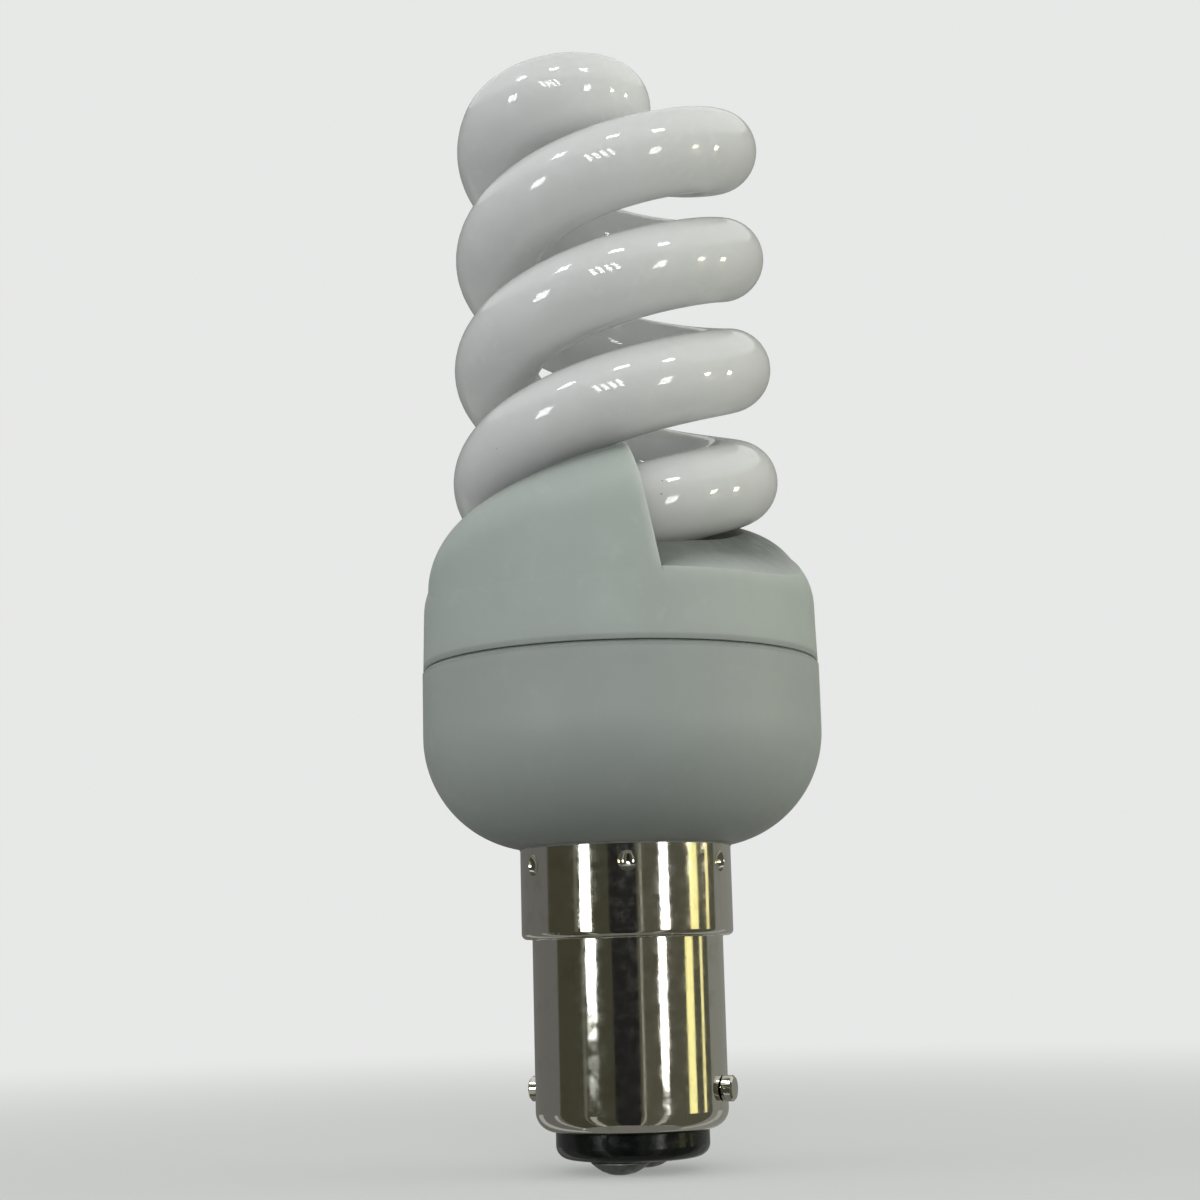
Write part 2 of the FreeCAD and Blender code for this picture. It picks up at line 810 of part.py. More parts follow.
def axial_part(place, turn, radius, waist=0.0):
    """Part with a lead at each end, stood on end with the lower lead bent back up to the board."""
    top_z = board_z - part_drop
    bottom_z = top_z - diode_length
    third = diode_length / 3
    outer = polar(place, turn, 0)
    body = Part.makeCylinder(radius, diode_length, vec(outer.x, outer.y, bottom_z))
    if waist:
        low = vec(outer.x, outer.y, bottom_z + third)
        groove = Part.makeCylinder(radius, third, low)
        body = body.cut(groove.cut(Part.makeCylinder(radius - waist, third, low)))
    upper, lower = axial_places(place, turn)
    inner = vec(lower[0], lower[1], bottom_z - lead_r)
    start = vec(outer.x, outer.y, bottom_z - lead_r)
    dip = (start + inner) / 2 - vec(0, 0, hairpin_r)
    bend = Part.Wire(Part.Arc(start, dip, inner).toShape())
    hoop = bend.makePipeShell([Part.Wire(Part.makeCircle(lead_r, start, top))], True, False)
    stub = rod(lead_r, start, vec(outer.x, outer.y, bottom_z))
    return fused([body, stub, hoop] + leads([upper], top_z) + leads([lower], bottom_z - lead_r))


def axial_row(side, radius, waist=0.0):
    return Part.makeCompound([axial_part(axial_place, turn, radius, waist) for turn in axial_turns(side)])


# Leads inside the lamp

def wrap_pins():
    height = board_thickness + wrap_pin_height
    pins = [block(p.x, p.y, board_z, wrap_pin_size, wrap_pin_size, height) for p in wrap_pin_centres()]
    return Part.makeCompound(pins)


def filament_wires():
    """Two leads from the sealed end of each strand, each wound round its pin."""
    end, outward = sealed_end()
    reach = math.sqrt(tube_r ** 2 - filament_offset ** 2) + lead_gap
    coil_radius = board_scale * wrap_pin_size / math.sqrt(2) + filament_r + fit_gap
    wrap_z = board_top_z + board_scale * wrap_pin_height / 2
    wires = []
    for pin, side in zip(wrap_pin_centres(board_scale), (-1, 1)):
        start = end + outward * reach + polar(side * filament_offset, strand_first, 0)
        corner = start + outward * filament_run
        toward = vec(corner.x - pin.x, corner.y - pin.y, 0).normalize()
        finish = vec(pin.x, pin.y, wrap_z) + toward * coil_radius
        lead = swept(rounded_route([start, corner, finish], filament_bend), filament_r)
        coils = [Part.makeTorus(coil_radius, filament_r, vec(pin.x, pin.y, wrap_z + wrap_step * i))
                 for i in range(wrap_turns)]
        wires.append(fused([lead] + coils))
    return Part.makeCompound(wires + [opposite(wire) for wire in wires])


def supply_wire():
    x, y, z = contact_place(solder_height + fit_gap)
    place = board_scale * supply_place
    points = [
        vec(0, -place, ledge_z),
        vec(0, -place, supply_bend_z),
        vec(0, y, supply_bend_z - 2 * supply_bend),
        vec(0, y, z),
    ]
    lead = swept(rounded_route(points, supply_bend), supply_r)
    return fused([lead] + leads([(0, -place)], ledge_z))


def main():
    pin = bayonet_pin()
    plate = contact_plate()
    solder = contact_solder()
    wire = supply_wire()
    cement = tube_cement()
    nodes = {
        "spiral_tube": spiral_tube(),
        "upper_cover": upper_cover(),
        "lower_housing": lower_housing(),
        "tube_cement_front": cement,
        "tube_cement_rear": opposite(cement),
        "cap_shell": cap_shell(),
        "bayonet_pin_right": pin,
        "bayonet_pin_left": opposite(pin),
        "cap_insulator": cap_insulator(),
        "contact_plate_front": plate,
        "contact_plate_rear": opposite(plate),
        "contact_solder_front": solder,
        "contact_solder_rear": opposite(solder),
        "circuit_board": on_board(circuit_board()),
        "smoothing_capacitor": on_board(smoothing_capacitor()),
        "choke_core": on_board(choke_core()),
        "choke_bobbin": on_board(choke_bobbin()),
        "choke_winding": on_board(choke_winding()),
        "drive_ring": on_board(drive_ring()),
        "drive_windings": on_board(drive_windings()),
        "transistor_first": on_board(transistor(transistor_turn)),
        "transistor_second": on_board(transistor(-transistor_turn)),
        "resonant_capacitor": on_board(film_capacitor(1)),
        "blocking_capacitor": on_board(film_capacitor(-1)),
        "rectifier_diodes": on_board(axial_row(1, diode_r)),
        "resistors": on_board(axial_row(-1, resistor_r, resistor_waist)),
        "trigger_diac": on_board(axial_part(lone_place, lone_turn, diac_r)),
        "fuse_resistor": on_board(axial_part(lone_place, -lone_turn, fuse_r)),
        "wrap_pins": on_board(wrap_pins()),
        "filament_wires": filament_wires(),
        "supply_wire_front": wire,
        "supply_wire_rear": opposite(wire),
    }
    os.makedirs("parts", exist_ok=True)
    for name, shape in nodes.items():
        shape.exportStep("parts/%s.step" % name)


main()
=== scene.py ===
import bpy
import json
import math
from mathutils import Matrix, Vector, noise


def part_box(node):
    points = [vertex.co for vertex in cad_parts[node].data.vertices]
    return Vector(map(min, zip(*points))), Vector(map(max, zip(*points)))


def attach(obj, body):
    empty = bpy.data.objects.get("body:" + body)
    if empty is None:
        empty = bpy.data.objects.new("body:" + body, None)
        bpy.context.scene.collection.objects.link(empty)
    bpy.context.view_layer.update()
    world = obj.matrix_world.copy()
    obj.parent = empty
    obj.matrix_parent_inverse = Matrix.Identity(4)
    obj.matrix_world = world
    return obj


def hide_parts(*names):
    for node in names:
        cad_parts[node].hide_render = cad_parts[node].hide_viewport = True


# Looks of a spiral energy saving bulb with a small bayonet cap, in the frame of the CAD model.
# Sizes of the lamp are in millimetres, places on the stage in metres, angles in degrees.

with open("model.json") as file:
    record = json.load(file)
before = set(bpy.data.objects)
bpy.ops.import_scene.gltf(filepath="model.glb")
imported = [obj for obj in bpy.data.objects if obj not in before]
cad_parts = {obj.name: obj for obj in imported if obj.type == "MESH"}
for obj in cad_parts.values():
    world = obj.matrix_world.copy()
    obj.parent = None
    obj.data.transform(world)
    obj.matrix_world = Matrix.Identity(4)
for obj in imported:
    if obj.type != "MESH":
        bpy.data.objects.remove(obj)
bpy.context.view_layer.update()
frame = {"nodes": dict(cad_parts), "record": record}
nodes = frame["nodes"]

MM = 0.001
TURN = 360.0
HALF_TURN = 180.0

# Glass spiral, as in the model
TUBE_R = 3.5
COIL_R = 9.91
COIL_Z = 55.0
COIL_TAPER = 0.0225
COIL_PITCH = 19.29
STRAND_Z = 54.0
STRAND_FIRST = -155.0
STRAND_LAST = 582.0
CROSSING_EASE = 0.95
TUBE_SIDES = 48

# Camera of the photograph: turn about the lamp, distance, height and the way it faces
CAMERA_TURN = 20.0
CAMERA_DISTANCE = 165.0
CAMERA_HEIGHT = 16.26
CAMERA_PITCH = 10.04
CAMERA_YAW = -0.53
CAMERA_ROLL = -1.45
FOCAL_PIXELS = 2038.0
IMAGE_PIXELS = 1200.0
SENSOR = 36.0
CLIP_START = 5.0

# Colour sockets of a mix node, and the range that most of a noise lies in
MIX_BASE = 6
MIX_OVER = 7
MIX_RESULT = 2
NOISE_LOW = 0.3
NOISE_HIGH = 0.7

# White parts: even scatter of light, their paler tones, and where painted shade lies on the glass and the
# plastic
EVEN = (1.0, 1.0, 1.0)
HOUSING_WHITE = (0.475, 0.52, 0.495)
COVER_WHITE = (0.556, 0.613, 0.577)
TUBE_SHADE_FROM_Z = 56.0
TUBE_SHADE_TO_Z = 47.0
SHADE_REACH = 8.0
SHADE_FROM_Z = 41.0
SHADE_TO_Z = 44.0
SEAM_BELOW = 0.25
SEAM_ABOVE = 0.33
SEAM_FADE = 0.30

# Plain materials: colour, roughness, second tone, grain, depth of bump, metallic share
PLAIN_PAINTS = {
    "cement": ((0.62, 0.61, 0.55), 0.9, (0.50, 0.49, 0.43), 0.7, 0.10, 0.0),
    "brass": ((0.62, 0.48, 0.22), 0.3, (0.42, 0.31, 0.14), 0.9, 0.01, 1.0),
    "solder": ((0.21, 0.22, 0.215), 0.45, (0.14, 0.14, 0.14), 0.8, 0.05, 0.7),
    "capacitor_sleeve": ((0.02, 0.02, 0.035), 0.3, (0.035, 0.035, 0.05), 2.0, 0.03, 0.0),
    "ferrite": ((0.055, 0.055, 0.06), 0.7, (0.03, 0.03, 0.03), 0.4, 0.03, 0.0),
    "bobbin_plastic": ((0.03, 0.03, 0.03), 0.5, (0.05, 0.05, 0.05), 0.6, 0.02, 0.0),
    "black_resin": ((0.025, 0.025, 0.025), 0.55, (0.05, 0.05, 0.05), 0.3, 0.02, 0.0),
    "film_resin": ((0.34, 0.06, 0.03), 0.25, (0.24, 0.04, 0.02), 1.5, 0.06, 0.0),
    "resistor_lacquer": ((0.50, 0.36, 0.19), 0.45, (0.36, 0.25, 0.12), 0.8, 0.03, 0.0),
    "diac_glass": ((0.05, 0.09, 0.30), 0.25, (0.03, 0.05, 0.20), 0.8, 0.02, 0.0),
    "steel": ((0.56, 0.56, 0.54), 0.3, (0.40, 0.40, 0.38), 0.5, 0.01, 1.0),
    "lead_wire": ((0.55, 0.55, 0.53), 0.35, (0.40, 0.40, 0.38), 0.4, 0.01, 1.0),
}


# Shader helpers

def add_node(tree, kind, **settings):
    node = tree.nodes.new(kind)
    for key, value in settings.items():
        setattr(node, key, value)
    return node


def mix_colours(tree, share, base, over):
    mix = add_node(tree, "ShaderNodeMix", data_type="RGBA")
    mix.inputs[MIX_BASE].default_value = (*base, 1.0)
    mix.inputs[MIX_OVER].default_value = (*over, 1.0)
    tree.links.new(share, mix.inputs["Factor"])
    return mix.outputs[MIX_RESULT]


class Paint:
    """One procedural material. Noise is measured in the object's own millimetres."""

    def __init__(self, name, colour, roughness, **sockets):
        self.material = bpy.data.materials.new(name)
        self.material.use_nodes = True
        self.tree = self.material.node_tree
        self.shader = self.tree.nodes["Principled BSDF"]
        self.colour = (*colour, 1.0)
        self.shader.inputs["Base Color"].default_value = self.colour
        self.shader.inputs["Roughness"].default_value = roughness
        for socket, value in sockets.items():
            self.shader.inputs[socket.replace("_", " ")].default_value = value
        self.place = self.add("ShaderNodeTexCoord").outputs["Object"]
        self.painted = None
        self.normal = None

    def add(self, kind, **settings):
        return add_node(self.tree, kind, **settings)

    def link(self, source, socket):
        self.tree.links.new(source, socket)

    def noise(self, grain_mm, detail, rough=0.5, stretch=EVEN):
        """Noise whose features are about grain_mm wide, drawn out along an axis by stretch."""
        mapping = self.add("ShaderNodeMapping")
        mapping.inputs["Scale"].default_value = [1.0 / (grain_mm * MM * s) for s in stretch]
        self.link(self.place, mapping.inputs["Vector"])
        texture = self.add("ShaderNodeTexNoise")
        texture.inputs["Scale"].default_value = 1.0
        texture.inputs["Detail"].default_value = detail
        texture.inputs["Roughness"].default_value = rough
        self.link(mapping.outputs["Vector"], texture.inputs["Vector"])
        return texture.outputs["Fac"]

    def cells(self, size_mm):
        """Distance to the nearest of scattered points, in cells of size_mm, and the cell's own colour."""
        texture = self.add("ShaderNodeTexVoronoi")
        texture.inputs["Scale"].default_value = 1.0 / (size_mm * MM)
        self.link(self.place, texture.inputs["Vector"])
        return texture.outputs["Distance"], texture.outputs["Color"]

    def hollow(self, reach_mm):
        """1 on open faces, less where other faces stand within reach_mm."""
        node = self.add("ShaderNodeAmbientOcclusion")
        node.inputs["Distance"].default_value = reach_mm * MM
        return node.outputs["AO"]

    def height(self):
        split = self.add("ShaderNodeSeparateXYZ")
        self.link(self.place, split.inputs["Vector"])
        return split.outputs["Z"]

    def span(self, value, low, high, to_low=0.0, to_high=1.0):
        node = self.add("ShaderNodeMapRange", interpolation_type="SMOOTHSTEP")
        limits = {"From Min": low, "From Max": high, "To Min": to_low, "To Max": to_high}
        for socket, number in limits.items():
            node.inputs[socket].default_value = number
        self.link(value, node.inputs["Value"])
        return node.outputs["Result"]

    def times(self, first, second):
        node = self.add("ShaderNodeMath", operation="MULTIPLY")
        self.link(first, node.inputs[0])
        self.link(second, node.inputs[1])
        return node.outputs["Value"]

    def tint(self, share, colour):
        """Lays a colour over what is painted so far, where share is 1."""
        mix = self.add("ShaderNodeMix", data_type="RGBA")
        if self.painted is None:
            mix.inputs[MIX_BASE].default_value = self.colour
        else:
            self.link(self.painted, mix.inputs[MIX_BASE])
        mix.inputs[MIX_OVER].default_value = (*colour, 1.0)
        self.link(share, mix.inputs["Factor"])
        self.painted = mix.outputs[MIX_RESULT]
        self.link(self.painted, self.shader.inputs["Base Color"])

    def rough(self, value, low, high):
        self.link(self.span(value, NOISE_LOW, NOISE_HIGH, low, high), self.shader.inputs["Roughness"])

    def bump(self, height, depth_mm, strength):
        node = self.add("ShaderNodeBump")
        node.inputs["Distance"].default_value = depth_mm * MM
        node.inputs["Strength"].default_value = strength
        self.link(height, node.inputs["Height"])
        if self.normal is not None:
            self.link(self.normal, node.inputs["Normal"])
        self.normal = node.outputs["Normal"]
        self.link(self.normal, self.shader.inputs["Normal"])

    def specks(self, cell_mm, radius, share, colour):
        """Small specks: one in some of the cells, radius as a part of a cell."""
        core = 0.6
        step = 0.001
        distance, cell = self.cells(cell_mm)
        split = self.add("ShaderNodeSeparateColor")
        self.link(cell, split.inputs["Color"])
        chosen = self.span(split.outputs["Red"], 1.0 - share, 1.0 - share + step)
        self.tint(self.times(self.span(distance, radius, radius * core), chosen), colour)


def glass_paint():
    """Milky coating under clear glass, with painted shade that darkens it towards the bottom."""
    paint = Paint("phosphor_glass", (0.845, 0.86, 0.855), 0.5, Specular_IOR_Level=0.2,
                  Subsurface_Weight=1.0, Subsurface_Scale=0.008, Subsurface_Radius=EVEN,
                  Coat_Weight=1.0, Coat_Roughness=0.025, Coat_IOR=1.5)
    paint.tint(paint.span(paint.noise(7.0, 4.0), 0.42, 0.68), (0.815, 0.83, 0.825))
    paint.tint(paint.span(paint.noise(0.9, 3.0), 0.50, 0.80), (0.865, 0.875, 0.87))
    # painted shade: the glass is darker towards the bottom, as if shaded by the turns above
    lower_shade = paint.span(paint.height(), TUBE_SHADE_FROM_Z * MM, TUBE_SHADE_TO_Z * MM)
    paint.tint(lower_shade, (0.69, 0.71, 0.695))
    paint.specks(2.6, 0.04, 0.12, (0.42, 0.41, 0.39))
    paint.bump(paint.noise(5.0, 1.0), 0.02, 0.5)
    return paint.material


def plastic_paint(name, pale):
    """Moulded plastic: pale is its paler tone; painted shade lies under the tube and in hollows, and as a
    darker band along the seam.
    """
    colour = Vector(pale)
    paint = Paint(name, colour * 0.96, 0.46, Specular_IOR_Level=0.35,
                  Subsurface_Weight=0.8, Subsurface_Scale=0.0025, Subsurface_Radius=EVEN)
    paint.tint(paint.span(paint.noise(9.0, 4.0), 0.40, 0.70), colour * 0.92)
    paint.tint(paint.span(paint.noise(1.6, 4.0, 0.6), 0.55, 0.80), colour)
    # painted shade: darker where other faces stand near, under the tube and in hollows, above the seam
    # only
    hollow_shade = paint.span(paint.hollow(SHADE_REACH), 0.99, 0.78)
    over_seam = paint.span(paint.height(), SHADE_FROM_Z * MM, SHADE_TO_Z * MM)
    paint.tint(paint.times(hollow_shade, over_seam), colour * 0.32)
    # painted shade: a darker band along the seam between cover and housing
    seam_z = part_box("lower_housing")[1].z
    below = paint.span(paint.height(), seam_z - (SEAM_BELOW + SEAM_FADE) * MM, seam_z - SEAM_BELOW * MM)
    above = paint.span(paint.height(), seam_z + (SEAM_ABOVE + SEAM_FADE) * MM, seam_z + SEAM_ABOVE * MM)
    paint.tint(paint.times(below, above), colour * 0.74)
    paint.specks(4.0, 0.035, 0.10, (0.30, 0.31, 0.28))
    paint.rough(paint.noise(1.2, 3.0), 0.40, 0.54)
    paint.bump(paint.noise(0.22, 2.0), 0.012, 0.7)
    paint.bump(paint.noise(6.0, 2.0), 0.05, 0.4)
    return paint.material


def nickel_paint():
    """Bright plating, with fine lines along the lamp and a few tarnished spots."""
    paint = Paint("nickel", (0.70, 0.675, 0.61), 0.11, Metallic=1.0)
    drawn = paint.noise(0.22, 4.0, 0.6, (1.0, 1.0, 45.0))
    paint.tint(paint.span(paint.noise(2.4, 4.0), 0.48, 0.75), (0.60, 0.57, 0.48))
    paint.tint(paint.span(drawn, 0.60, 0.80), (0.52, 0.50, 0.44))
    paint.specks(1.3, 0.05, 0.20, (0.22, 0.19, 0.14))
    paint.rough(paint.noise(0.8, 4.0, 0.6), 0.05, 0.125)
    paint.bump(drawn, 0.004, 0.5)
    paint.bump(paint.noise(3.0, 1.0, 0.4, (1.0, 1.0, 6.0)), 0.005, 0.4)
    return paint.material


def insulator_paint():
    paint = Paint("black_glass", (0.006, 0.008, 0.008), 0.16, Specular_IOR_Level=0.45)
    paint.tint(paint.span(paint.noise(1.5, 4.0), 0.50, 0.80), (0.014, 0.016, 0.016))
    paint.specks(1.1, 0.10, 0.14, (0.20, 0.20, 0.19))
    paint.rough(paint.noise(0.9, 3.0), 0.10, 0.30)
    paint.bump(paint.noise(0.5, 3.0), 0.012, 0.6)
    return paint.material


def plain_paint(name, colour, roughness, second, grain_mm, depth_mm, metallic):
    """A material with a soft second tone and a fine bump of the same grain."""
    paint = Paint(name, colour, roughness, Metallic=metallic)
    grain = paint.noise(grain_mm, 4.0, 0.6)
    paint.tint(paint.span(grain, 0.45, 0.75), second)
    paint.rough(paint.noise(grain_mm * 0.7, 3.0), roughness * 0.8, min(1.0, roughness * 1.25))
    paint.bump(grain, depth_mm, 0.6)
    return paint.material


def board_paint():
    paint = Paint("board", (0.42, 0.24, 0.09), 0.6)
    paint.tint(paint.span(paint.noise(0.5, 4.0, 0.6, (6.0, 1.0, 1.0)), 0.45, 0.75), (0.34, 0.18, 0.06))
    paint.tint(paint.span(paint.noise(3.5, 0.0), 0.56, 0.58), (0.16, 0.22, 0.08))
    paint.bump(paint.noise(0.4, 3.0), 0.02, 0.5)
    return paint.material


def winding_paint():
    """Enamelled copper wire, its turns lying across the lamp's axis."""
    paint = Paint("copper", (0.60, 0.24, 0.09), 0.3, Metallic=0.85)
    wave = paint.add("ShaderNodeTexWave", bands_direction="Z")
    wave.inputs["Scale"].default_value = 1.0 / (0.9 * MM)
    wave.inputs["Distortion"].default_value = 0.6
    paint.link(paint.place, wave.inputs["Vector"])
    # painted shade: darker in the grooves between the turns
    paint.tint(paint.span(wave.outputs["Fac"], 0.2, 0.7, 1.0, 0.0), (0.30, 0.10, 0.04))
    paint.bump(wave.outputs["Fac"], 0.08, 0.8)
    return paint.material


def make_paints():
    paints = {
        "phosphor_glass": glass_paint(),
        "white_plastic": plastic_paint("white_plastic", HOUSING_WHITE),
        "nickel": nickel_paint(),
        "black_glass": insulator_paint(),
        "board": board_paint(),
        "copper": winding_paint(),
    }
    for name, looks in PLAIN_PAINTS.items():
        paints[name] = plain_paint(name, *looks)
    return paints


def dress(piece, material):
    piece.data.materials.clear()
    piece.data.materials.append(material)


# Pieces

def new_piece(name, vertices, faces, slot, material, *stands_for):
    mesh = bpy.data.meshes.new(name)
    mesh.from_pydata([Vector(v) * MM for v in vertices], [], faces)
    mesh.update()
    mesh.polygons.foreach_set("use_smooth", [True] * len(mesh.polygons))
    piece = bpy.data.objects.new(name, mesh)
    bpy.context.scene.collection.objects.link(piece)
    dress(piece, material)
    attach(piece, "root")
    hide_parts(*stands_for)


def polar(radius, turn, z):
    angle = math.radians(turn)
    return Vector((radius * math.cos(angle), radius * math.sin(angle), z))


def strand_point(turn):
    z = STRAND_Z + COIL_PITCH * turn / TURN
    return polar(COIL_R - COIL_TAPER * (z - COIL_Z), turn, z)


def crossing_point(share):
    """Half of the S over the axis: share 0 is the end of the helix, 1 is the axis."""
    end = strand_point(STRAND_LAST)
    end_r = math.hypot(end.x, end.y)
    bend = end_r / 2
    slope = CROSSING_EASE * COIL_PITCH / (math.tau * end_r)
    flat = polar(bend, STRAND_LAST, 0) + polar(bend, STRAND_LAST + HALF_TURN * share, 0)
    return Vector((flat.x, flat.y, end.z + slope * bend * math.pi * (share - share * share / 2)))


def tube_line():
    """Centre line of the whole tube, from one sealed end over the crossing to the other."""
    helix_steps = 300
    crossing_steps = 48
    sweep = STRAND_LAST - STRAND_FIRST
    half = [strand_point(STRAND_FIRST + sweep * i / helix_steps) for i in range(helix_steps + 1)]
    half += [crossing_point((i + 1) / crossing_steps) for i in range(crossing_steps)]
    turned = [Vector((-p.x, -p.y, p.z)) for p in reversed(half[:-1])]
    return half + turned


def tube_rings(line, sides):
    """Rings of points round a line, carried along it without twist, with a round end at each side."""
    cap_steps = 8
    count = len(line)
    tangents = [(line[min(i + 1, count - 1)] - line[max(i - 1, 0)]).normalized() for i in range(count)]
    across = tangents[0].orthogonal().normalized()
    frames = []
    for tangent in tangents:
        across = (across - tangent * across.dot(tangent)).normalized()
        frames.append((across.copy(), tangent.cross(across)))
    rings = []

    def ring(centre, axes, radius):
        points = []
        for i in range(sides):
            angle = math.tau * i / sides
            points.append(centre + (axes[0] * math.cos(angle) + axes[1] * math.sin(angle)) * radius)
        rings.append(points)

    for step in range(1, cap_steps):
        angle = math.pi / 2 * step / cap_steps
        ring(line[0] - tangents[0] * TUBE_R * math.cos(angle), frames[0], TUBE_R * math.sin(angle))
    for centre, axes in zip(line, frames):
        ring(centre, axes, TUBE_R)
    for step in range(cap_steps - 1, 0, -1):
        angle = math.pi / 2 * step / cap_steps
        ring(line[-1] + tangents[-1] * TUBE_R * math.cos(angle), frames[-1], TUBE_R * math.sin(angle))
    return rings


def skin(rings):
    """Vertices and faces of a closed skin over rings of equal count."""
    sides = len(rings[0])
    vertices = [point for ring in rings for point in ring]
    faces = []
    for row in range(len(rings) - 1):
        this = row * sides
        after = this + sides
        for i in range(sides):
            j = (i + 1) % sides
            faces.append((this + i, this + j, after + j, after + i))
    faces.append(tuple(reversed(range(sides))))
    last = (len(rings) - 1) * sides
    faces.append(tuple(last + i for i in range(sides)))
    return vertices, faces


def solder_rings(node):
    """Lumpy drop of solder inside the box of its node."""
    sides = 40
    rows = 12
    first_share = 0.04
    rim_lumps = 1.4
    rim_depth = 0.10
    top_lumps = 1.6
    top_depth = 0.10
    dome_power = 2.4
    dome_share = 0.9
    low, high = (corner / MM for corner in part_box(node))
    centre = (low + high) / 2
    radius = (high.x - low.x) / 2
    height = high.z - low.z
    rings = []
    for row in range(rows + 1):
        share = first_share + (1.0 - first_share) * row / rows
        ring = []
        for i in range(sides):
            angle = math.tau * i / sides
            across = math.cos(angle)
            along = math.sin(angle)
            wobble = 1.0 - rim_depth * abs(noise.noise((across * rim_lumps, along * rim_lumps, centre.y)))
            x = centre.x + radius * share * wobble * across
            y = centre.y + radius * share * wobble * along
            lump = top_depth * abs(noise.noise((x * top_lumps, y * top_lumps, 0.0)))
            rise = share ** dome_power * dome_share + lump * share
            ring.append(Vector((x, y, low.z + height * rise)))
        rings.append(ring)
    return rings


def make_pieces(paints):
    vertices, faces = skin(tube_rings(tube_line(), TUBE_SIDES))
    new_piece("glass_spiral", vertices, faces, "phosphor_glass", paints["phosphor_glass"], "spiral_tube")
    for side in ("front", "rear"):
        node = "contact_solder_" + side
        vertices, faces = skin(solder_rings(node))
        new_piece("solder_drop_" + side, vertices, faces, "solder", paints["solder"], node)


# Stage

def from_photo(direction):
    """Turns a direction seen from the photograph's camera into the model's frame."""
    return Matrix.Rotation(math.radians(CAMERA_TURN), 3, "Z") @ Vector(direction)


def toward(turn, height):
    """Direction at an angle to the right of the camera, and an angle above the level."""
    right = math.radians(turn)
    rise = math.radians(height)
    level = math.cos(rise)
    return from_photo((math.sin(right) * level, -math.cos(right) * level, math.sin(rise)))


def make_camera():
    pitch, yaw, roll = (math.radians(a) for a in (CAMERA_PITCH, CAMERA_YAW, CAMERA_ROLL))
    ahead = Vector((math.sin(yaw) * math.cos(pitch), math.cos(yaw) * math.cos(pitch), math.sin(pitch)))
    level = Vector((math.cos(yaw), -math.sin(yaw), 0.0))
    above = level.cross(ahead)
    right = level * math.cos(roll) + above * math.sin(roll)
    up = above * math.cos(roll) - level * math.sin(roll)
    axes = [from_photo(v) for v in (right, up, -ahead)]
    data = bpy.data.cameras.new("camera")
    data.sensor_fit = "HORIZONTAL"
    data.sensor_width = SENSOR
    data.lens = SENSOR * FOCAL_PIXELS / IMAGE_PIXELS
    data.clip_start = CLIP_START * MM
    camera = bpy.data.objects.new("camera", data)
    camera.matrix_world = Matrix(axes).transposed().to_4x4()
    camera.location = from_photo((0.0, -CAMERA_DISTANCE * MM, CAMERA_HEIGHT * MM))
    bpy.context.scene.collection.objects.link(camera)
    bpy.context.scene.camera = camera


# Lights, all turned to one point on the lamp's axis
FIXTURE_DISTANCE = 1.2
KEY_DISTANCE = 0.36
LIGHT_TARGET = Vector((0.0, 0.0, 0.055))
WHITE = (1.0, 1.0, 1.0)
COOL = (0.95, 1.0, 1.0)
WARM = (1.0, 0.95, 0.70)
YELLOWISH = (1.0, 1.0, 0.80)


def panel(name, turn, height, wide, tall, radiance, colour,
          tilt=0.0, distance=FIXTURE_DISTANCE, soft=False):
    """Area light at two angles seen from the lamp, with an angular size, a brightness and a colour."""
    data = bpy.data.lights.new(name, "AREA")
    data.shape = "RECTANGLE"
    data.size = 2 * distance * math.tan(math.radians(wide) / 2)
    data.size_y = 2 * distance * math.tan(math.radians(tall) / 2)
    data.energy = radiance * math.pi * data.size * data.size_y
    data.color = colour
    light = bpy.data.objects.new(name, data)
    way = toward(turn, height)
    facing = way.to_track_quat("Z", "Y").to_matrix().to_4x4()
    light.matrix_world = facing @ Matrix.Rotation(math.radians(tilt), 4, "Z")
    light.location = LIGHT_TARGET + way * distance
    light.visible_camera = False
    light.visible_glossy = not soft
    light.visible_diffuse = soft
    bpy.context.scene.collection.objects.link(light)


def make_lights():
    """Small fixtures that show as highlights, and wide soft light that shows in no reflection."""
    panel("left_low", -45, 4, 10.5, 14, 12, COOL)
    panel("left_high", -50, 48, 8.5, 8, 16, COOL)
    panel("middle_high", -4, 58, 8, 7, 22, WHITE)
    panel("right_high", 41, 49, 7, 7, 22, WHITE)
    panel("right_low", 41, 2, 8, 14, 12, WHITE)
    panel("warm_near", 73, 6, 5, 7, 20, WARM)
    panel("warm_far", 94, 6, 4.5, 7, 16, WARM)
    louvre_from = -11
    louvre_step = 5.5
    louvre_bars = 4
    for bar in range(louvre_bars):
        panel("louvre_%d" % bar, louvre_from + louvre_step * bar, 18, 2.7, 20, 13, COOL, tilt=26)
    panel("key", 2, 12, 34, 34, 2.15, WHITE, distance=KEY_DISTANCE, soft=True)
    panel("ceiling", 0, 85, 60, 60, 0.15, WHITE, soft=True)
    panel("side_right", 85, 2, 40, 36, 2.75, YELLOWISH, soft=True)
    panel("side_left", -82, 6, 40, 40, 1.3, COOL, soft=True)


def stage_mesh(name, vertices, faces, material):
    mesh = bpy.data.meshes.new(name)
    mesh.from_pydata(vertices, [], faces)
    piece = bpy.data.objects.new(name, mesh)
    mesh.materials.append(material)
    bpy.context.scene.collection.objects.link(piece)
    return piece


def stage_square(name, half, z, material):
    corners = [(-half, -half, z), (half, -half, z), (half, half, z), (-half, half, z)]
    return stage_mesh(name, corners, [(0, 1, 2, 3)], material)


